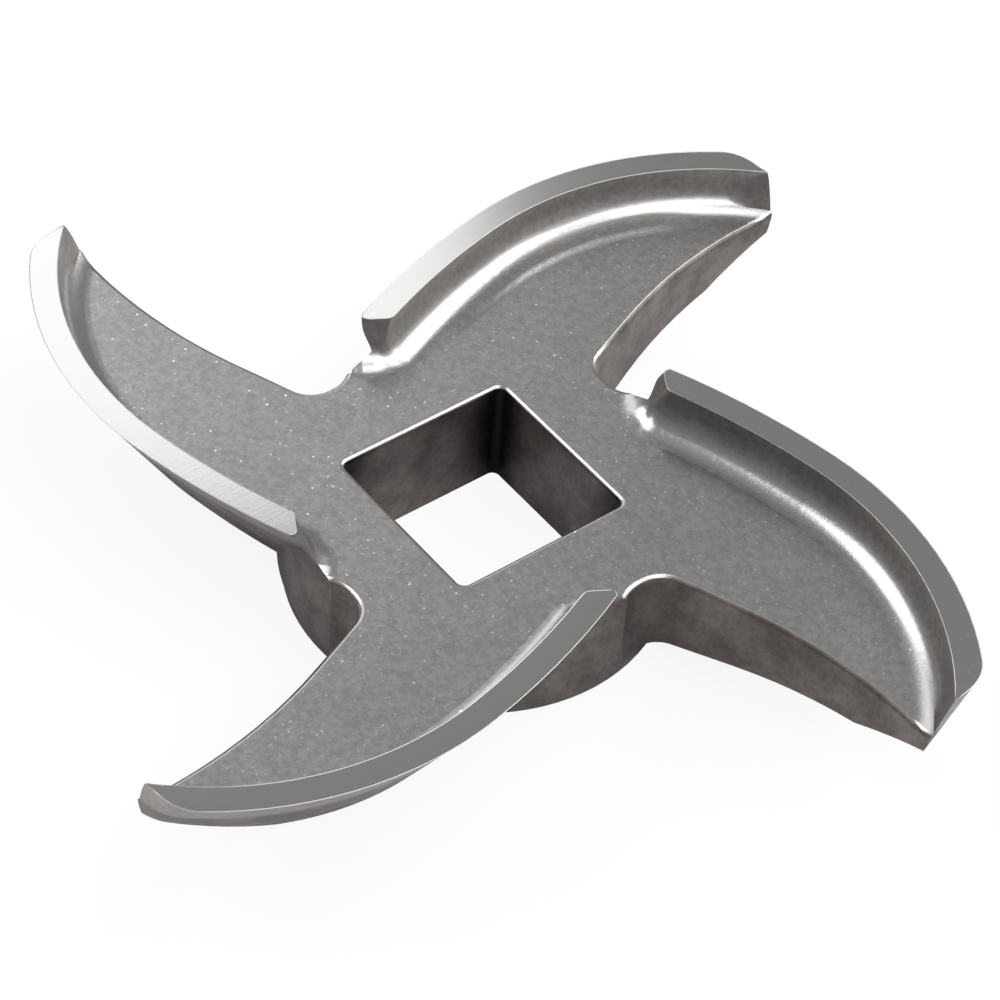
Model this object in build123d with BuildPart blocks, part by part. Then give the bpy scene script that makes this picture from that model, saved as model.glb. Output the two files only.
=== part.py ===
from build123d import *
import math
import os

# Four-armed meat grinder knife, one stainless casting with a square drive hole.
# Frame: origin in the middle of the boss's underside, +Z along the feed screw's axis towards
# the plate that the ground ribs run on. The first arm points to -X and leads with its -Y side;
# seen from +Z the four arms sweep clockwise.

arm_count = 4

# --- sizes along the axis ---
web_z = 8.8             # top of the flat web above the boss's underside
rib_height = 3.3        # ground rib face above the web
arm_root_z = 1.9        # underside of the arms where they leave the boss
arm_knee_z = 4.55       # underside of the arms where the tip chamfer starts
arm_tip_z = 7.9         # underside of the arms at the outside diameter
boss_draft_z = 2.8      # height over which the boss's foot is drafted

# --- sizes across the axis ---
tip_radius = 38.2       # half of the outside diameter, over the rounded corners
knee_radius = 31.0      # where the tip chamfer on the underside starts
boss_radius = 14.4      # round boss where the arms leave it
boss_foot_radius = 14.0  # the same boss at its underside
drive_square = 14.2     # square hole for the feed screw's end
drive_corner = 0.6      # corner radius of the square hole

# --- cutting rib ---
rib_width = 2.0         # flat ground face
rib_fillet = 2.3        # between the rib's inner wall and the web
undercut_angle = 31.2   # how far the leading wall leans back under the cutting edge

# --- cutting edge in plan: a slack arc at the root, then a tighter one out to the tip corner ---
edge_start_x = -0.35    # nose of the rib, where the cutting edge starts
edge_start_y = -15.74
edge_heading = 204.2
edge_root_radius = 61.5
edge_root_sweep = 13.6
tip_bearing = 202.54    # where the tip corner stands, seen from the axis
tip_stand = 0.33        # sharp tip corner beyond the outside diameter, before it is rounded
run_on = 4.0            # sweep by which the cuts are carried on past both ends of the edge

# --- inner end of the rib, a ramp down to the boss's rim ---
ramp_heading = 150.0
ramp_lean = 22.0        # from the vertical
ramp_nose_round = 0.5
ramp_corner_round = 0.7

# --- flat end of the arm ---
end_heading = 98.0
end_lean = 8.0          # from the vertical, receding under the rib
end_width = 4.5         # from the tip corner to the trailing edge
end_lead_round = 3.0

# --- trailing edge in plan: straight out of the gap, then one long arc to the arm's end ---
trail_root_x = -12.7
trail_root_y = -4.57
trail_heading = 202.25
trail_straight = 7.5

# --- gap between two arms, cut right through the boss's rim ---
gap_floor = 13.85       # flat floor's distance from the axis
gap_bend_y = -1.3       # where the floor turns to the next rib's nose
gap_root_round = 2.2    # between the floor and the trailing wall
gap_bend_round = 2.6

# --- rounds ---
web_edge_round = 0.45
drive_edge_round = 0.4
boss_foot_round = 0.4

top_z = web_z + rib_height
turn = 360.0 / arm_count
spare = 1.5             # stock outside the cutting edge, taken off by the undercut
rib_spare = 0.1         # the same on the rib itself
over = 1.0              # how far a cutting tool runs past what it cuts
reach = 2 * tip_radius  # larger than anything that is cut


def heading(angle):
    """Unit vector in plan for a heading in degrees."""
    return Vector(math.cos(math.radians(angle)), math.sin(math.radians(angle)))


def tangent_arc(start, angle, end):
    """Radius and sweep of the clockwise arc that leaves start along a heading and meets end."""
    chord = end - start
    radius = chord.length**2 / (2 * chord.dot(heading(angle - 90)))
    return radius, math.degrees(2 * math.asin(chord.length / (2 * radius)))


# cutting edge
edge_start = Vector(edge_start_x, edge_start_y)
start_way = heading(edge_heading)
tip_corner = heading(tip_bearing) * (tip_radius + tip_stand)
root_centre = edge_start + heading(edge_heading - 90) * edge_root_radius
blend_heading = edge_heading - edge_root_sweep
edge_blend = root_centre + heading(blend_heading + 90) * edge_root_radius
edge_tip_radius, edge_tip_sweep = tangent_arc(edge_blend, blend_heading, tip_corner)
tip_centre = edge_blend + heading(blend_heading - 90) * edge_tip_radius
run_in_heading = edge_heading + run_on
run_in_way = heading(run_in_heading)
root_sweep = edge_root_sweep + run_on
tip_sweep = edge_tip_sweep + run_on * edge_root_radius / edge_tip_radius
rib_sweep = tip_sweep + 2 * run_on

# trailing edge
trail_root = Vector(trail_root_x, trail_root_y)
trail_line_end = trail_root + heading(trail_heading) * trail_straight
trail_end = tip_corner + heading(end_heading) * end_width
trail_radius, trail_end_sweep = tangent_arc(trail_line_end, trail_heading, trail_end)
trail_sweep = trail_end_sweep + run_on * edge_root_radius / trail_radius

# the leading corner's round fits the end's wall where that is narrowest, at the arm's underside
lean = math.tan(math.radians(undercut_angle))
corner_turn = blend_heading - edge_tip_sweep - end_heading
narrow_end = end_width - lean * (top_z - arm_tip_z)
lead_round = min(end_lead_round, 0.65 * narrow_end / math.tan(math.radians(corner_turn / 2)))

# gap
gap_corner_y = trail_root_y + (-gap_floor - trail_root_x) * math.tan(math.radians(trail_heading))
gap_corner = Vector(-gap_floor, gap_corner_y)
gap_bend = Vector(-gap_floor, gap_bend_y)
stock_start = edge_start + heading(edge_heading + 90) * spare
next_stock_start = stock_start.rotate(Axis.Z, -turn)

# --- plan of hub and arms, with spare stock along the cutting edges and past the tips ---
with BuildSketch() as plan:
    with BuildLine():
        stock_root = JernArc(stock_start, start_way, edge_root_radius + spare, -edge_root_sweep)
        stock_tip = JernArc(stock_root @ 1, stock_root % 1, edge_tip_radius + spare, -tip_sweep)
        trail_line = Line(gap_corner, trail_line_end)
        trail_arc = JernArc(trail_line @ 1, trail_line % 1, trail_radius, -trail_sweep)
        Line(stock_tip @ 1, trail_arc @ 1)
        Polyline(gap_corner, gap_bend, next_stock_start, (0, 0), stock_start)
    make_face()
    with PolarLocations(0, arm_count):
        add(plan.sketch)
    gap_corners = plan.vertices().filter_by(lambda v: abs(Vector(v).length - gap_corner.length) < 0.01)
    fillet(gap_corners, radius=gap_root_round)
    gap_bends = plan.vertices().filter_by(lambda v: abs(Vector(v).length - gap_bend.length) < 0.01)
    fillet(gap_bends, radius=gap_bend_round)

# --- wedge taken out under one cutting edge, its sloping side leaning in from the edge ---
wedge_foot = lean * (top_z + over)
wedge_out = spare + 3 * over
wedge_profile = [(lean * over, top_z + over), (wedge_out, top_z + over),
                 (wedge_out, -over), (-wedge_foot, -over)]
root_plane = Plane(root_centre, x_dir=heading(run_in_heading + 90), z_dir=run_in_way)
tip_plane = Plane(tip_centre, x_dir=heading(blend_heading + 90), z_dir=heading(blend_heading))
with BuildPart() as undercut:
    with BuildSketch(root_plane):
        with Locations((edge_root_radius, 0)):
            Polygon(*wedge_profile, align=None)
    revolve(axis=Axis(root_centre, (0, 0, 1)), revolution_arc=-root_sweep)
    with BuildSketch(tip_plane):
        with Locations((edge_tip_radius, 0)):
            Polygon(*wedge_profile, align=None)
    revolve(axis=Axis(tip_centre, (0, 0, 1)), revolution_arc=-tip_sweep)
    with BuildSketch(Plane.XY.offset(-2 * over)):
        Circle(boss_radius)
    extrude(amount=top_z + 4 * over, mode=Mode.SUBTRACT)

# --- one rib: prism along the cutting edge, its inner end ramped down ---
ramp_out = heading(ramp_heading - 90)
ramp_tilt = math.radians(ramp_lean)
ramp_normal = ramp_out * math.cos(ramp_tilt) + Vector(0, 0, math.sin(ramp_tilt))
ramp_plane = Plane(edge_start + Vector(0, 0, top_z), x_dir=heading(ramp_heading), z_dir=ramp_normal)
run_in = root_centre + heading(run_in_heading + 90) * (edge_root_radius + rib_spare)
run_in_inner = root_centre + heading(run_in_heading + 90) * (edge_root_radius - rib_width)
with BuildPart() as rib:
    with BuildSketch(Plane.XY.offset(web_z - over)):
        with BuildLine():
            outer_root = JernArc(run_in, run_in_way, edge_root_radius + rib_spare, -root_sweep)
            outer_tip = JernArc(outer_root @ 1, outer_root % 1, edge_tip_radius + rib_spare, -rib_sweep)
            inner_root = JernArc(run_in_inner, run_in_way, edge_root_radius - rib_width, -root_sweep)
            inner_tip = JernArc(inner_root @ 1, inner_root % 1, edge_tip_radius - rib_width, -rib_sweep)
            Line(run_in, run_in_inner)
            Line(outer_tip @ 1, inner_tip @ 1)
        make_face()
    extrude(amount=rib_height + over)
    with BuildSketch(ramp_plane):
        Rectangle(reach, reach)
    extrude(amount=reach, mode=Mode.SUBTRACT)
    ramp_corner = edge_start + heading(ramp_heading) * rib_width + Vector(0, 0, top_z)
    slanting = rib.edges().filter_by(lambda e: 0.1 < abs(e.tangent_at(0.5).Z) < 0.99)
    fillet(slanting.sort_by_distance(ramp_corner)[0], radius=ramp_corner_round)
    slanting = rib.edges().filter_by(lambda e: 0.1 < abs(e.tangent_at(0.5).Z) < 0.99)
    ramp_nose = edge_start + Vector(0, 0, top_z)
    fillet(slanting.sort_by_distance(ramp_nose)[0], radius=ramp_nose_round)
    far_corners = rib.edges().filter_by(Axis.Z).sort_by_distance(outer_tip @ 1)[:2]
    fillet(far_corners, radius=ramp_nose_round)

# --- flat end of one arm ---
end_lean_angle = math.radians(end_lean)
end_normal = heading(end_heading + 90) * math.cos(end_lean_angle) - Vector(0, 0, math.sin(end_lean_angle))
end_plane = Plane(tip_corner + Vector(0, 0, top_z), x_dir=heading(end_heading), z_dir=end_normal)
with BuildPart() as end_trim:
    with BuildSketch(end_plane):
        Rectangle(reach, reach)
    extrude(amount=reach)

# --- round boss, cut by the same four gaps ---
with BuildPart() as boss:
    with BuildSketch(Plane.XZ):
        Polygon((0, 0), (boss_foot_radius, 0), (boss_radius, boss_draft_z),
                (boss_radius, web_z), (0, web_z), align=None)
    revolve(axis=Axis.Z)
    with BuildSketch():
        add(plan.sketch)
    extrude(amount=web_z, mode=Mode.INTERSECT)

# --- the knife ---
arm_slope = (arm_knee_z - arm_root_z) / (knee_radius - boss_foot_radius)
end_slope = (arm_tip_z - arm_knee_z) / (tip_radius - knee_radius)
inside = (drive_square / 2 + boss_foot_radius) / 2   # between the hole and the boss's rim
beyond = 1.5 * tip_radius


def web_top_edges(part):
    """Edges lying in the top plane of the web."""
    return part.edges().filter_by_position(Axis.Z, web_z - 0.01, web_z + 0.01)


def end_faces(part):
    """The flat ends of the arms, told by their lean."""
    flats = part.faces().filter_by(GeomType.PLANE)
    return flats.filter_by(lambda f: abs(f.normal_at().Z - end_normal.Z) < 0.001)


def lead_point(end):
    """A point just under an end's tip corner, on its leading side."""
    corners = [tip_corner.rotate(Axis.Z, -turn * k) for k in range(arm_count)]
    tip = min(corners, key=lambda c: (end.center() - c).length)
    return tip + Vector(0, 0, top_z - over)


with BuildPart() as knife:
    # ribs on a plain disc first, so that the fillet runs right round the foot of each rib
    with BuildSketch():
        Circle(reach)
    extrude(amount=web_z)
    with PolarLocations(0, arm_count):
        add(rib.part)
    rib_foot = web_top_edges(knife).filter_by(lambda e: e.is_interior)
    fillet(rib_foot, radius=rib_fillet)
    with BuildSketch():
        add(plan.sketch)
    extrude(amount=top_z, mode=Mode.INTERSECT)
    with PolarLocations(0, arm_count):
        add(undercut.part, mode=Mode.SUBTRACT)
        add(end_trim.part, mode=Mode.SUBTRACT)
    # underside of the arms: a shallow cone out to the knee, then the steeper tip chamfer
    with BuildSketch(Plane.XZ):
        Polygon((inside, -over), (inside, arm_root_z - (boss_foot_radius - inside) * arm_slope),
                (knee_radius, arm_knee_z), (beyond, arm_knee_z + end_slope * (beyond - knee_radius)),
                (beyond, -over), align=None)
    revolve(axis=Axis.Z, mode=Mode.SUBTRACT)
    add(boss.part)
    fillet(web_top_edges(knife).filter_by(lambda e: not e.is_interior), radius=web_edge_round)
    lead_corners = [end.edges().sort_by_distance(lead_point(end))[0] for end in end_faces(knife)]
    fillet(lead_corners, radius=lead_round)
    boss_foot = knife.faces().sort_by(Axis.Z)[0]
    fillet(boss_foot.edges(), radius=boss_foot_round)
    with BuildSketch():
        RectangleRounded(drive_square, drive_square, drive_corner)
    extrude(amount=web_z, mode=Mode.SUBTRACT)
    drive_edge = web_top_edges(knife).filter_by(lambda e: math.hypot(e.center().X, e.center().Y) < inside)
    fillet(drive_edge, radius=drive_edge_round)

knife.part.label = "grinder_knife"
os.makedirs("parts", exist_ok=True)
export_step(knife.part, "parts/grinder_knife.step")
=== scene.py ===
import math

import bpy
from bpy.props import FloatProperty, FloatVectorProperty, PointerProperty
from mathutils import Euler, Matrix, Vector


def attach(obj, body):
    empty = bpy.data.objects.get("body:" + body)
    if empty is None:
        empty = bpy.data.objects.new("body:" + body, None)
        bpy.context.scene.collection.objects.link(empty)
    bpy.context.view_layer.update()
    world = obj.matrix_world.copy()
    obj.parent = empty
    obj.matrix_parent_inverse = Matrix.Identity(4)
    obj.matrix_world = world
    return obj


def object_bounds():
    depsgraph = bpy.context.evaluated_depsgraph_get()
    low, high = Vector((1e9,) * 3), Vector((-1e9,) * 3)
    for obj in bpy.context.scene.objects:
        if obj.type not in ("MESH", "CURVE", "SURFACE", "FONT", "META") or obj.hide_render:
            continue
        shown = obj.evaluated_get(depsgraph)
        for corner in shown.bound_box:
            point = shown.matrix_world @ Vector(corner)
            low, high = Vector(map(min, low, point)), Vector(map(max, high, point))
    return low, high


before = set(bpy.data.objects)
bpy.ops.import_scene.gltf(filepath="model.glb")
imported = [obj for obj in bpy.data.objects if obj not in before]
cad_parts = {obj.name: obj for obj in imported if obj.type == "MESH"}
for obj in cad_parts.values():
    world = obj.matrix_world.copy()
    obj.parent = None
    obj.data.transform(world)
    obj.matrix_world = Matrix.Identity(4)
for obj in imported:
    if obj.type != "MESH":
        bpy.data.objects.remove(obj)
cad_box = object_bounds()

bl_info = {
    "name": "Meat Grinder Knife",
    "version": (1, 0, 0),
    "blender": (4, 5, 0),
    "location": "View3D > Sidebar > Grinder",
    "description": "A four-armed cast stainless meat grinder knife with ground cutting ribs",
    "category": "Object",
}

MM = 0.001
TOP = cad_box[1].z / MM     # ground rib faces above the floor, mm
LEVEL_TOLERANCE = 0.002     # two heights closer than this are one level, mm

# the casting's own sizes, mm and degrees
ARMS = 4
RIB_HEIGHT = 3.3
RIB_WIDTH = 2.0
RIB_FILLET = 2.3
WEB = TOP - RIB_HEIGHT      # the web's flat above the floor
TIP = Vector((-35.59, -14.77, 0))   # where the first arm's cutting edge ends, seen from above
EDGE_RADIUS = 26.405
EDGE_BEARING = 51.4         # from the tip to the middle of the edge's arc
END_BEARING = 188.0         # the way the end wall faces
END_LEAN = 8.0

# sizes of the metal's texture, mm and degrees
CLOUD_SIZE = 5.0            # warmer and cooler patches on the web
WALL_CLOUD_SIZE = 3.2
GRAIN_SIZE = 0.5
FLECK_SIZE = 0.34
DRIFT_SIZE = 2.6            # drifts in which the flecks lie
LAY_PITCH = 0.12            # grinding lines on the rib faces
LAY_ANGLE = 35.0
LAY_STRETCH = 0.03
LAY_DEPTH = 0.0018


def linear(hex_colour):
    """sRGB hex to linear RGBA."""
    out = []
    for i in (1, 3, 5):
        c = int(hex_colour[i:i + 2], 16) / 255
        out.append(c / 12.92 if c <= 0.04045 else ((c + 0.055) / 1.055) ** 2.4)
    return (*out, 1.0)


def node(tree, kind, inputs=None, **settings):
    """Adds one shader node, sets its properties, and fills or links its inputs."""
    n = tree.nodes.new(kind)
    for name, value in settings.items():
        setattr(n, name, value)
    for socket, value in (inputs or {}).items():
        if isinstance(value, bpy.types.NodeSocket):
            tree.links.new(value, n.inputs[socket])
        else:
            n.inputs[socket].default_value = value
    return n


def new_material(name):
    material = bpy.data.materials.new(name)
    material.use_nodes = True
    tree = material.node_tree
    tree.nodes.clear()
    return material, tree


def step(tree, value, low, high, out_low=0.0, out_high=1.0):
    """Smooth step of a value between two levels."""
    return node(tree, "ShaderNodeMapRange", {
        "Value": value, "From Min": low, "From Max": high, "To Min": out_low, "To Max": out_high,
    }, interpolation_type="SMOOTHSTEP").outputs["Result"]


def step_mm(tree, value, low, high):
    """Smooth step of a length between two lengths in millimetres."""
    return step(tree, value, low * MM, high * MM)


def math_node(tree, operation, a, b=0.0):
    return node(tree, "ShaderNodeMath", {0: a, 1: b}, operation=operation).outputs[0]


def mix_colour(tree, factor, a, b, blend="MIX"):
    n = node(tree, "ShaderNodeMix", {"Factor": factor, "A": a, "B": b}, data_type="RGBA", blend_type=blend)
    return n.outputs["Result"]


def noise(tree, coordinates, size_mm, detail=2.0, roughness=0.5):
    """Noise whose features are about size_mm across."""
    return node(tree, "ShaderNodeTexNoise", {
        "Vector": coordinates, "Scale": 1 / (size_mm * MM), "Detail": detail, "Roughness": roughness,
    }).outputs["Fac"]


def mesh_object(name, points, faces, material, smooth=True):
    mesh = bpy.data.meshes.new(name)
    mesh.from_pydata(points, [], faces)
    mesh.materials.append(material)
    if smooth:
        mesh.polygons.foreach_set("use_smooth", [True] * len(mesh.polygons))
    ob = bpy.data.objects.new(name, mesh)
    bpy.context.scene.collection.objects.link(ob)
    return ob


# --- materials ---

def cast_stainless(props):
    # investment-cast stainless steel, blasted on the web and ground bare on the rib faces; the walls carry
    # painted shade, coloured darker than the web to stand in for the dark they reflect
    material, tree = new_material("cast_stainless_blasted")
    place = node(tree, "ShaderNodeTexCoord").outputs["Object"]
    height = node(tree, "ShaderNodeSeparateXYZ", {0: place}).outputs["Z"]
    normal = node(tree, "ShaderNodeNewGeometry").outputs["Normal"]
    facing_up = node(tree, "ShaderNodeSeparateXYZ", {0: normal}).outputs["Z"]

    # which surface: blasted web, wall in painted shade or ground face
    upward_skin = step(tree, facing_up, 0.5, 0.76)
    # the arms' outer edges take the walls' painted shade, while the fillets and the edges round the middle
    # get a painted highlight
    in_plan = node(tree, "ShaderNodeVectorMath", {0: place, 1: (1, 1, 0)}, operation="MULTIPLY").outputs[0]
    from_axis = node(tree, "ShaderNodeVectorMath", {0: in_plan}, operation="LENGTH").outputs["Value"]
    tilted = step(tree, facing_up, 0.995, 0.975)
    outer_edge = math_node(tree, "MULTIPLY", step_mm(tree, height, WEB - 0.01, WEB - 0.04),
                           step_mm(tree, from_axis, 15.5, 18))
    inner_skin = math_node(tree, "SUBTRACT", 1.0, math_node(tree, "MULTIPLY", outer_edge, tilted))
    upward_skin = math_node(tree, "MULTIPLY", upward_skin, inner_skin)
    rounded = math_node(tree, "MULTIPLY", upward_skin, tilted)
    at_top = step_mm(tree, height, TOP - 0.04, TOP - 0.02)
    ground = math_node(tree, "MULTIPLY", at_top, step(tree, facing_up, 0.97, 0.995))

    # clouds of warmer and cooler grey a few millimetres across, as blasted castings have
    clouds = noise(tree, place, CLOUD_SIZE, 3.0)
    grain = noise(tree, place, GRAIN_SIZE, 5.0, 0.7)
    web = mix_colour(tree, step(tree, clouds, 0.35, 0.65), props.skin_cool, props.skin_warm)
    # painted shade: the walls are coloured darker than the web, mottled between two greys
    wall_clouds = noise(tree, place, WALL_CLOUD_SIZE, 3.0)
    wall = mix_colour(tree, step(tree, wall_clouds, 0.3, 0.7), props.wall_shade_dark, props.wall_shade_light)
    # the ribs' own walls, above the web, get less of the painted shade: their colour is mixed part way to
    # the web's warm grey
    above_web = step_mm(tree, height, WEB + 0.1, WEB + 0.9)
    wall = mix_colour(tree, math_node(tree, "MULTIPLY", above_web, 0.6), wall, props.skin_warm)
    # painted shade: the bore's corners are coloured nearly black
    in_bore = step_mm(tree, from_axis, 10.6, 10.3)
    shaded_corner = math_node(tree, "MULTIPLY", in_bore, step_mm(tree, from_axis, 7.8, 9.7))
    wall = mix_colour(tree, math_node(tree, "MULTIPLY", shaded_corner, 0.9), wall, props.bore_corner_shade)
    skin = mix_colour(tree, upward_skin, wall, web)
    skin = mix_colour(tree, 1.0, skin, step(tree, grain, 0.3, 0.7, 0.82, 1.1), "MULTIPLY")
    # painted highlight: the rounded edges and fillets are coloured lighter, and made smoother, than the
    # flats beside them
    skin = mix_colour(tree, math_node(tree, "MULTIPLY", rounded, 0.7), skin, props.edge_highlight)

    # sparse bright specks where a blast grain has laid the metal bare
    cells = node(tree, "ShaderNodeTexVoronoi", {"Vector": place, "Scale": 1 / props.speck_pitch})
    chosen = node(tree, "ShaderNodeSeparateColor", {0: cells.outputs["Color"]}).outputs[0]
    speck = math_node(tree, "MULTIPLY", step(tree, cells.outputs["Distance"], 0.19, 0.08),
                      step(tree, chosen, 0.6, 0.9))
    # and finer flecks, in drifts, where the blast scratched
    scratch = math_node(tree, "MULTIPLY", step(tree, noise(tree, place, FLECK_SIZE, 2.0, 0.6), 0.62, 0.74),
                        step(tree, noise(tree, place, DRIFT_SIZE, 1.0), 0.4, 0.6))
    speck = math_node(tree, "MAXIMUM", speck, math_node(tree, "MULTIPLY", scratch, 0.55))
    speck = math_node(tree, "MULTIPLY", speck, step(tree, facing_up, 0.9, 0.98))
    skin = mix_colour(tree, speck, skin, props.bare_metal)
    # the ground faces carry a few fainter ones
    ground_skin = mix_colour(tree, math_node(tree, "MULTIPLY", speck, 0.3), props.ground_face,
                             props.bare_metal)
    colour = mix_colour(tree, ground, skin, ground_skin)

    rough = node(tree, "ShaderNodeMix", {"Factor": upward_skin, "A": 0.5, "B": props.skin_roughness})
    rough = node(tree, "ShaderNodeMix", {"Factor": rounded, "A": rough.outputs["Result"], "B": 0.25})
    rough = node(tree, "ShaderNodeMix", {"Factor": speck, "A": rough.outputs["Result"], "B": 0.2})
    rough = node(tree, "ShaderNodeMix", {"Factor": ground, "A": rough.outputs["Result"],
                                         "B": props.ground_roughness})

    # fine lay of the grinding wheel, straight across all four ribs
    lay = node(tree, "ShaderNodeMapping", {"Vector": place, "Rotation": (0, 0, math.radians(LAY_ANGLE)),
                                           "Scale": (1, LAY_STRETCH, 1)}).outputs["Vector"]
    lines = noise(tree, lay, LAY_PITCH, 2.0)
    relief = node(tree, "ShaderNodeMix", {"Factor": ground, "A": grain, "B": lines}).outputs["Result"]
    depth = node(tree, "ShaderNodeMix", {"Factor": ground, "A": props.grain_depth,
                                         "B": LAY_DEPTH * MM}).outputs["Result"]
    relief = math_node(tree, "MULTIPLY", relief, depth)
    bump = node(tree, "ShaderNodeBump", {"Height": relief, "Distance": 1.0, "Strength": 1.0})
    shader = node(tree, "ShaderNodeBsdfPrincipled", {
        "Base Color": colour, "Metallic": 1.0, "Roughness": rough.outputs["Result"],
        "Normal": bump.outputs["Normal"],
    })
    node(tree, "ShaderNodeOutputMaterial", {"Surface": shader.outputs["BSDF"]})
    return material


def bare_burr(props):
    # the wheel's fine burr along a ground face: bare bright steel
    material, tree = new_material("bare_steel_burr")
    shader = node(tree, "ShaderNodeBsdfPrincipled", {
        "Base Color": props.burr, "Metallic": 1.0, "Roughness": 0.3,
    })
    node(tree, "ShaderNodeOutputMaterial", {"Surface": shader.outputs["BSDF"]})
    return material


def pale_floor():
    # matt white sweep, lit up to plain white for the lens but keeping the shadow
    material, tree = new_material("matt_white_sweep")
    lens = node(tree, "ShaderNodeLightPath").outputs["Is Camera Ray"]
    paint = node(tree, "ShaderNodeBsdfDiffuse", {"Color": (0.85, 0.85, 0.85, 1)})
    glow = node(tree, "ShaderNodeEmission", {"Color": (1, 1, 1, 1), "Strength": 1.0})
    both = node(tree, "ShaderNodeMixShader", {
        0: math_node(tree, "MULTIPLY", lens, 0.9), 1: paint.outputs[0], 2: glow.outputs[0]})
    node(tree, "ShaderNodeOutputMaterial", {"Surface": both.outputs[0]})
    return material


# --- the knife's mesh, read for the lines that finer pieces follow ---

def chains(edges):
    """Joins vertex pairs end to end into lists of vertex numbers."""
    near = {}
    for a, b in edges:
        near.setdefault(a, []).append(b)
        near.setdefault(b, []).append(a)
    starts = sorted(near, key=lambda v: (len(near[v]) != 1, v))
    seen = set()
    out = []
    for start in starts:
        if start in seen:
            continue
        chain = [start]
        seen.add(start)
        while True:
            ahead = [v for v in near[chain[-1]] if v not in seen]
            if not ahead:
                break
            chain.append(ahead[0])
            seen.add(ahead[0])
        out.append(chain)
    return out


def welded(mesh):
    """Points and faces of a mesh with vertices at one place made one, in millimetres."""
    number = {}
    points = []
    renamed = []
    for v in mesh.vertices:
        key = tuple(round(c / MM, 3) for c in v.co)
        if key not in number:
            number[key] = len(points)
            points.append(Vector(v.co) / MM)
        renamed.append(number[key])
    faces = [[renamed[v] for v in f.vertices] for f in mesh.polygons]
    return points, [f for f in faces if len(set(f)) == len(f)]


def level_edges(points, faces, level, wanted):
    """Edges on a level's flat whose other face satisfies wanted(highest, lowest) of its vertices."""
    flat = set()
    other = set()
    for f in faces:
        heights = [points[v].z for v in f]
        pairs = [tuple(sorted(p)) for p in zip(f, f[1:] + f[:1])]
        if max(heights) - min(heights) < LEVEL_TOLERANCE and abs(heights[0] - level) < LEVEL_TOLERANCE:
            flat.update(pairs)
        elif wanted(max(heights), min(heights)):
            other.update(p for p in pairs if all(abs(points[v].z - level) < LEVEL_TOLERANCE for v in p))
    return flat & other


def tube(line, radius, sides=6):
    """Points and faces of a round tube along a closed line."""
    count = len(line)
    points = []
    for i, p in enumerate(line):
        along = (line[(i + 1) % count] - line[i - 1]).normalized()
        side = along.cross(Vector((0, 0, 1))).normalized()
        rise = side.cross(along)
        for k in range(sides):
            turn = 2 * math.pi * k / sides
            points.append((p + side * (radius * math.cos(turn)) + rise * (radius * math.sin(turn))) * MM)
    faces = []
    for i in range(count):
        j = (i + 1) % count
        for k in range(sides):
            after = (k + 1) % sides
            faces.append((i * sides + k, i * sides + after, j * sides + after, j * sides + k))
    return points, faces


def resample(line, pitch):
    """The same line with points about pitch apart."""
    marks = [0.0]
    for a, b in zip(line, line[1:]):
        marks.append(marks[-1] + (b - a).length)
    count = max(2, round(marks[-1] / pitch))
    out = []
    k = 0
    for i in range(count + 1):
        s = marks[-1] * i / count
        while k < len(marks) - 2 and marks[k + 1] < s:
            k += 1
        span = marks[k + 1] - marks[k]
        out.append(line[k].lerp(line[k + 1], (s - marks[k]) / span if span else 0))
    return out


def fade(x, low, high):
    x = min(max((x - low) / (high - low), 0), 1)
    return x * x * (3 - 2 * x)


# section of the land across the fillet's foot line: distance from the line away from the rib, mm, and
# the share of the land's height that stands over the casting there
LAND_SECTION = ((-1.5, -0.1), (-1.2, 0.25), (-0.9, 0.55), (-0.6, 0.8), (-0.3, 0.95), (0.0, 1.0),
                (0.2, 0.97), (0.4, 0.78), (0.6, 0.5), (0.8, 0.22), (1.0, 0.04), (1.15, -0.1))
LAND_START, LAND_END = 0.06, 0.86   # shares of the foot line, counted from the arm's tip
LAND_SINK = 0.004                   # mm that the land's rims lie under the casting's skin
LAND_PITCH = 0.5                    # mm between its sections


def land(foot, full_height):
    """Points and faces of the raised land along a fillet's foot line, its height in mm."""
    if sum((b - a).cross(-a).z for a, b in zip(foot, foot[1:])) < 0:
        foot = foot[::-1]
    line = foot[round(LAND_START * len(foot)):round(LAND_END * len(foot))]
    count = len(line)
    points = []
    for i, p in enumerate(line):
        along = (line[min(i + 2, count - 1)] - line[max(i - 2, 0)]).normalized()
        out = Vector((-along.y, along.x, 0))
        share = i / (count - 1)
        height = full_height * min(fade(share, 0.01, 0.2), fade(share, 0.98, 0.5))
        for d, part in LAND_SECTION:
            own = RIB_FILLET - math.sqrt(RIB_FILLET ** 2 - min(d, 0) ** 2)
            rise = height * part if part > 0 else part * 0.1
            points.append(Vector((p.x + out.x * d, p.y + out.y * d, WEB + own + rise - LAND_SINK)) * MM)
    wide = len(LAND_SECTION)
    faces = [(i * wide + k, i * wide + k + 1, (i + 1) * wide + k + 1, (i + 1) * wide + k)
             for i in range(count - 1) for k in range(wide - 1)]
    return points, faces


GUSSET_SWELL = 1.2          # over 1 swells the gusset's outline, 1 leaves it straight
GUSSET_ACROSS, GUSSET_ALONG = 10, 12    # cells of its mesh


def bearing(angle):
    return Vector((math.cos(math.radians(angle)), math.sin(math.radians(angle)), 0))


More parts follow.
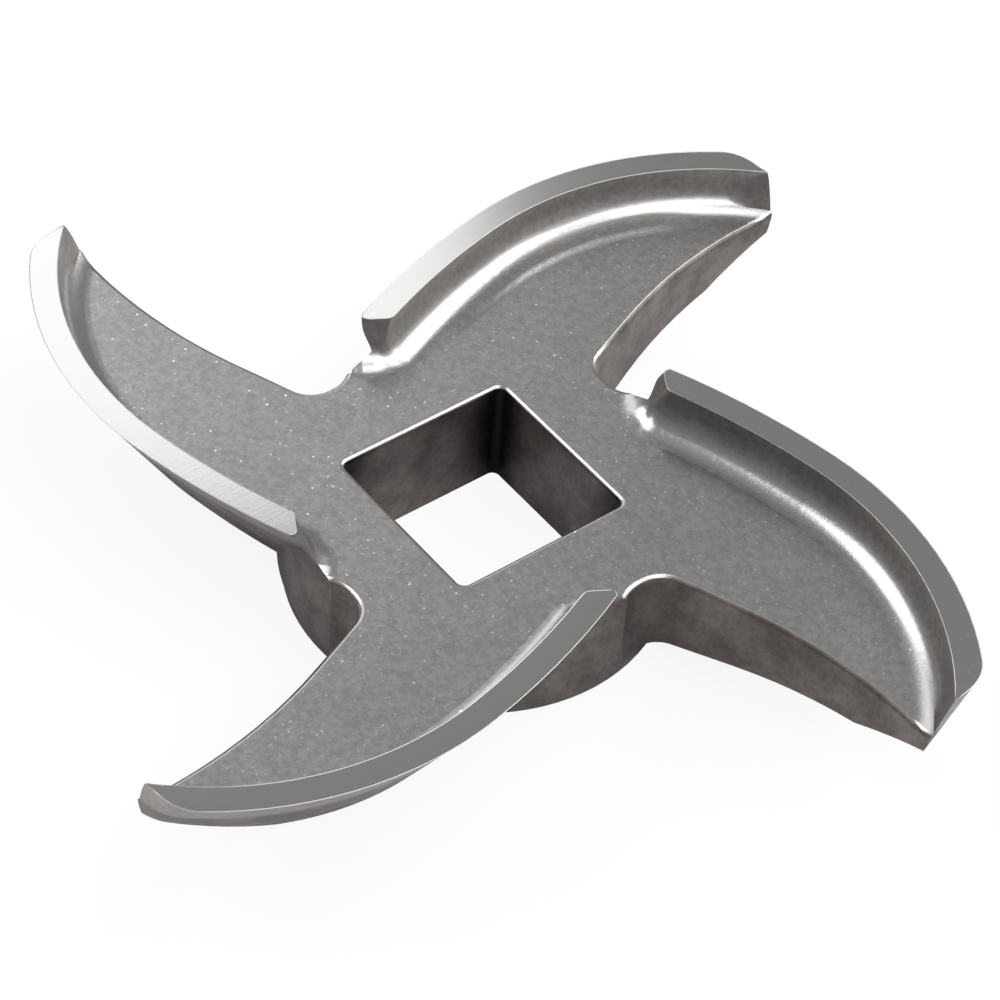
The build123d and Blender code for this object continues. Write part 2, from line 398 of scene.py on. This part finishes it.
def gusset(arm, width, length):
    """Points and faces of the small gusset between one rib and the web at the arm's end, sizes in mm."""
    centre = TIP + bearing(EDGE_BEARING) * EDGE_RADIUS
    inner = EDGE_RADIUS - RIB_WIDTH
    back = (centre - TIP).dot(bearing(END_BEARING))

    def place(distance, height, inward):
        # distance from the rib's inner wall, height above the floor, and way in from the end wall
        radius = inner - distance
        off = (height - TOP) * math.tan(math.radians(END_LEAN))
        angle = END_BEARING + math.degrees(math.acos((off - back) / radius) + inward / radius)
        p = centre + bearing(angle) * radius
        turned = Euler((0, 0, -2 * math.pi / ARMS * arm)).to_matrix()
        return turned @ Vector((p.x, p.y, height)) * MM

    def fillet(distance):
        return WEB + RIB_FILLET - math.sqrt(RIB_FILLET ** 2 - (RIB_FILLET - distance) ** 2)

    foot = fillet(width)
    columns = [width * k / GUSSET_ACROSS for k in range(GUSSET_ACROSS + 1)]
    points = []
    for i in range(GUSSET_ALONG + 1):
        part = (1 - i / GUSSET_ALONG) ** 2
        for d in columns:
            own = fillet(d)
            swell = TOP - (TOP - foot) * (d / width) ** GUSSET_SWELL
            points.append(place(d, own + (swell - own) * part - 0.01, length * i / GUSSET_ALONG))
    wide = len(columns)
    faces = [(i * wide + k, (i + 1) * wide + k, (i + 1) * wide + k + 1, i * wide + k + 1)
             for i in range(GUSSET_ALONG) for k in range(wide - 1)]
    # the end wall: a strip from the outline down to the casting's own fillet
    rim = len(points)
    for k, d in enumerate(columns):
        points.append(points[k].copy())
        points.append(place(d, fillet(d) - 0.05, 0))
    faces += [(rim + 2 * k, rim + 2 * k + 2, rim + 2 * k + 3, rim + 2 * k + 1) for k in range(wide - 1)]
    return points, faces


class GrinderKnifeProps(bpy.types.PropertyGroup):
    skin_cool: FloatVectorProperty(name="Skin, cool", description="Cooler grey of the blasted web",
        default=linear("#9e9e9d"), subtype="COLOR", size=4, min=0, max=1)
    skin_warm: FloatVectorProperty(name="Skin, warm", description="Warmer grey of the blasted web",
        default=linear("#a3a19f"), subtype="COLOR", size=4, min=0, max=1)
    # painted shade: the two greys of the walls, darker than the web
    wall_shade_dark: FloatVectorProperty(name="Wall, dark", description="Darkest painted wall shade",
        default=linear("#605a58"), subtype="COLOR", size=4, min=0, max=1)
    wall_shade_light: FloatVectorProperty(name="Wall, light", description="Lightest painted wall shade",
        default=linear("#7d7674"), subtype="COLOR", size=4, min=0, max=1)
    # painted shade in the bore's corners
    bore_corner_shade: FloatVectorProperty(name="Bore corner", description="Painted shade in the bore's corners",
        default=linear("#120d0d"), subtype="COLOR", size=4, min=0, max=1)
    bare_metal: FloatVectorProperty(name="Bare metal", description="Specks of bare metal",
        default=linear("#f2f2f2"), subtype="COLOR", size=4, min=0, max=1)
    # painted highlight: the lighter grey of the rounded edges and fillets
    edge_highlight: FloatVectorProperty(name="Edge highlight, painted", description="Rounded edges and fillets",
        default=linear("#bcbbba"), subtype="COLOR", size=4, min=0, max=1)
    ground_face: FloatVectorProperty(name="Ground face", description="Ground rib faces",
        default=linear("#cacac9"), subtype="COLOR", size=4, min=0, max=1)
    burr: FloatVectorProperty(name="Burr", description="Burr along the ground faces",
        default=linear("#c8c8c6"), subtype="COLOR", size=4, min=0, max=1)
    skin_roughness: FloatProperty(name="Skin roughness", description="Roughness of the web",
        default=0.34, subtype="FACTOR", min=0, max=1)
    ground_roughness: FloatProperty(name="Ground roughness", description="Roughness of the rib faces",
        default=0.14, subtype="FACTOR", min=0, max=1)
    grain_depth: FloatProperty(name="Grain depth", description="Depth of the cast grain",
        default=0.014 * MM, unit="LENGTH", min=0, precision=6)
    speck_pitch: FloatProperty(name="Speck pitch", description="Spacing of the cells that may hold a speck",
        default=0.62 * MM, unit="LENGTH", min=0, precision=6)
    burr_radius: FloatProperty(name="Burr radius", description="Half the burr's width",
        default=0.035 * MM, unit="LENGTH", min=0, precision=6)
    land_height: FloatProperty(name="Land height", description="Height of the land along the fillet's foot",
        default=0.2 * MM, unit="LENGTH", min=0, precision=6)
    gusset_width: FloatProperty(name="Gusset width", description="How far they reach from the rib",
        default=1.0 * MM, unit="LENGTH", min=0, precision=6)
    gusset_length: FloatProperty(name="Gusset length", description="How far they run in from the end wall",
        default=3.2 * MM, unit="LENGTH", min=0, precision=6)


class GRINDER_OT_knife(bpy.types.Operator):
    """Dress the knife casting"""
    bl_idname = "grinder.knife"
    bl_label = "Knife"

    def execute(self, context):
        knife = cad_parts["grinder_knife"]
        knife.data.materials.clear()
        knife.data.materials.append(cast_stainless(context.scene.grinder_knife))
        return {"FINISHED"}


class GRINDER_OT_burrs(bpy.types.Operator):
    """Fine burr round each ground rib face"""
    bl_idname = "grinder.burrs"
    bl_label = "Burrs"

    def execute(self, context):
        props = context.scene.grinder_knife
        points, faces = welded(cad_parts["grinder_knife"].data)
        edges = level_edges(points, faces, TOP, lambda high, low: low < TOP - LEVEL_TOLERANCE)
        material = bare_burr(props)
        for number, chain in enumerate(chains(edges)):
            line = [points[v] for v in chain]
            ob = mesh_object(f"burr_{number + 1}", *tube(line, props.burr_radius / MM), material)
            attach(ob, "root")
        return {"FINISHED"}


class GRINDER_OT_lands(bpy.types.Operator):
    """Low land left standing along the foot of the rear arm's fillet"""
    bl_idname = "grinder.lands"
    bl_label = "Fillet land"

    def execute(self, context):
        height = context.scene.grinder_knife.land_height / MM
        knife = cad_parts["grinder_knife"]
        points, faces = welded(knife.data)
        edges = level_edges(points, faces, WEB, lambda high, low: high > WEB + LEVEL_TOLERANCE)
        feet = [resample([points[v] for v in chain], LAND_PITCH) for chain in chains(edges)]
        # the rear arm's foot line is the long one whose middle lies at the back left
        middles = [foot[len(foot) // 2] for foot in feet]
        rear = max((foot for foot, middle in zip(feet, middles) if middle.x < 0 < middle.y), key=len)
        ob = mesh_object("fillet_land_1", *land(rear, height), knife.data.materials[0])
        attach(ob, "root")
        return {"FINISHED"}


class GRINDER_OT_gussets(bpy.types.Operator):
    """Small gusset that closes each rib's fillet at the arm's end"""
    bl_idname = "grinder.gussets"
    bl_label = "Tip gussets"

    def execute(self, context):
        props = context.scene.grinder_knife
        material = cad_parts["grinder_knife"].data.materials[0]
        for arm in range(ARMS):
            mesh = gusset(arm, props.gusset_width / MM, props.gusset_length / MM)
            ob = mesh_object(f"tip_gusset_{arm + 1}", *mesh, material)
            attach(ob, "root")
        return {"FINISHED"}


class GRINDER_OT_stage(bpy.types.Operator):
    """Floor, studio light and camera"""
    bl_idname = "grinder.stage"
    bl_label = "Stage"

    def execute(self, context):
        scene = context.scene
        scene.view_settings.view_transform = "Standard"
        floor = mesh_object("floor", [(-2, -2, 0), (2, -2, 0), (2, 2, 0), (-2, 2, 0)], [(0, 1, 2, 3)],
                            pale_floor(), smooth=False)
        self.world(scene)
        # azimuth and elevation of each panel seen from the knife, its size in metres and its radiance
        self.panel("back_right", 70, 41, (0.8, 0.52), 3.6)
        self.panel("front_left", 213, 45, (0.46, 0.5), 3.4)
        self.panel("right", 0, 52, (0.6, 0.42), 3.0)
        self.panel("overhead", 50, 78, (0.4, 0.35), 2.6)
        self.panel("low_back", 163, 35.5, (0.5, 0.37), 1.4)
        self.camera(scene)
        return {"FINISHED"}

    def world(self, scene):
        world = bpy.data.worlds.new("studio")
        scene.world = world
        world.use_nodes = True
        tree = world.node_tree
        tree.nodes.clear()
        lens = node(tree, "ShaderNodeLightPath").outputs["Is Camera Ray"]
        room = node(tree, "ShaderNodeMix", {"Factor": lens, "A": (0.3, 0.3, 0.3, 1), "B": (1, 1, 1, 1)},
                    data_type="RGBA").outputs["Result"]
        sky = node(tree, "ShaderNodeBackground", {"Color": room, "Strength": 1.0})
        node(tree, "ShaderNodeOutputWorld", {"Surface": sky.outputs[0]})

    def panel(self, name, azimuth, elevation, size, radiance, distance=0.8):
        lamp = bpy.data.lights.new(name, "AREA")
        lamp.shape = "RECTANGLE"
        lamp.size, lamp.size_y = size
        lamp.energy = radiance * math.pi * size[0] * size[1]
        ob = bpy.data.objects.new(name, lamp)
        a, e = math.radians(azimuth), math.radians(elevation)
        way = Vector((math.cos(a) * math.cos(e), math.sin(a) * math.cos(e), math.sin(e)))
        ob.location = way * distance
        ob.rotation_euler = way.to_track_quat("Z", "Y").to_euler()
        bpy.context.scene.collection.objects.link(ob)

    def camera(self, scene):
        camera = bpy.data.cameras.new("camera")
        camera.lens = 127.1
        camera.sensor_width = 36.0
        camera.clip_start = 0.01
        ob = bpy.data.objects.new("camera", camera)
        ob.location = (132.675 * MM, -113.313 * MM, 186.720 * MM)
        ob.rotation_euler = Euler([math.radians(a) for a in (44.0776, -3.4747, 52.6400)])
        scene.collection.objects.link(ob)
        scene.camera = ob


class GRINDER_PT_panel(bpy.types.Panel):
    bl_label = "Meat Grinder Knife"
    bl_idname = "GRINDER_PT_panel"
    bl_space_type = "VIEW_3D"
    bl_region_type = "UI"
    bl_category = "Grinder"

    def draw(self, context):
        props = context.scene.grinder_knife
        for name in GrinderKnifeProps.__annotations__:
            self.layout.prop(props, name)
        for name in ("knife", "burrs", "lands", "gussets", "stage"):
            self.layout.operator(f"grinder.{name}")


CLASSES = (GrinderKnifeProps, GRINDER_OT_knife, GRINDER_OT_burrs, GRINDER_OT_lands, GRINDER_OT_gussets,
           GRINDER_OT_stage, GRINDER_PT_panel)


def register():
    for cls in CLASSES:
        bpy.utils.register_class(cls)
    bpy.types.Scene.grinder_knife = PointerProperty(type=GrinderKnifeProps)


def unregister():
    del bpy.types.Scene.grinder_knife
    for cls in reversed(CLASSES):
        bpy.utils.unregister_class(cls)


def main():
    register()
    bpy.ops.grinder.knife()
    bpy.ops.grinder.burrs()
    bpy.ops.grinder.lands()
    bpy.ops.grinder.gussets()
    bpy.ops.grinder.stage()


if __name__ == "__main__":
    main()
